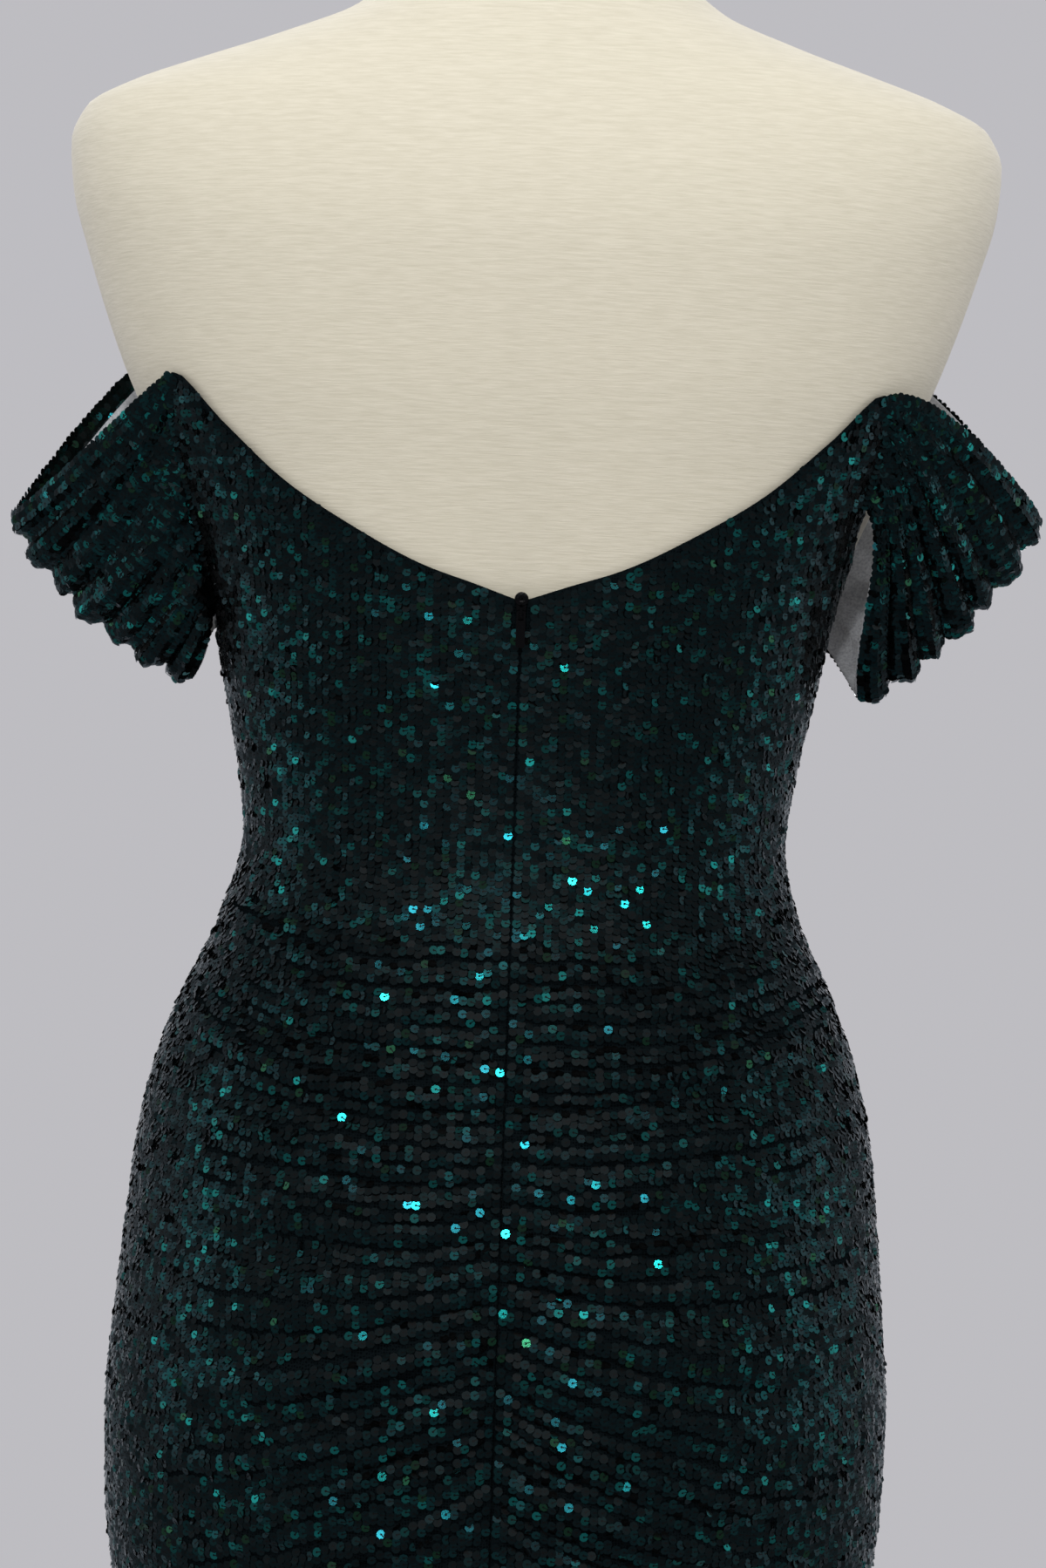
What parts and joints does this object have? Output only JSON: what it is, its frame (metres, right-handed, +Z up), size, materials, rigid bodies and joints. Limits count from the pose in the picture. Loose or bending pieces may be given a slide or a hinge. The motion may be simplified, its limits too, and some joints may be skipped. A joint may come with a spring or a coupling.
{
  "type": "off-shoulder maxi dress on a dress form",
  "caption": "Floor-length off-shoulder dress with pleated sleeves and a gathered back seam, standing on a limbless dress form with a round base.",
  "frame": {"origin": "centre of the underside of the form's round base, on the floor", "axes": "+Z up; the garment's front faces -Y and its back with the zip faces +Y; +X is the wearer's left"},
  "size_m": [0.5384, 0.5315, 1.5403],
  "materials": {
    "sequin_cloth": "near-black teal sequins on net, over a dark knit",
    "sleeve_lining": "pale grey woven lining",
    "form_jersey": "cream jersey with a fine level slub",
    "zip_tape": "black woven tape and nylon coil",
    "black_enamel": "glossy black enamel",
    "satin_steel": "satin",
    "turned_wood": "turned and oiled"
  },
  "bodies": {
    "root": {"front": "sequin_cloth", "back_left": "sequin_cloth", "back_right": "sequin_cloth", "sleeve_left": "sequin_cloth", "sleeve_right": "sequin_cloth", "sleeve_lining_left": "sleeve_lining", "sleeve_lining_right": "sleeve_lining", "zip_chain": "zip_tape", "zip_slider": "black_enamel", "form_torso": "form_jersey", "form_neck_plate": "turned_wood", "form_pole": "satin_steel", "form_collar": "satin_steel", "form_base": "satin_steel"},
    "pull": {"zip_pull": "black_enamel"}
  },
  "joints": [
    {"name": "zip_pull_swing", "type": "hinge", "parent": "root", "child": "pull", "pos_m": [0, 0.09963, 1.1805], "axis": [1, 0, 0], "range_deg": [-8, 150]}
  ]
}
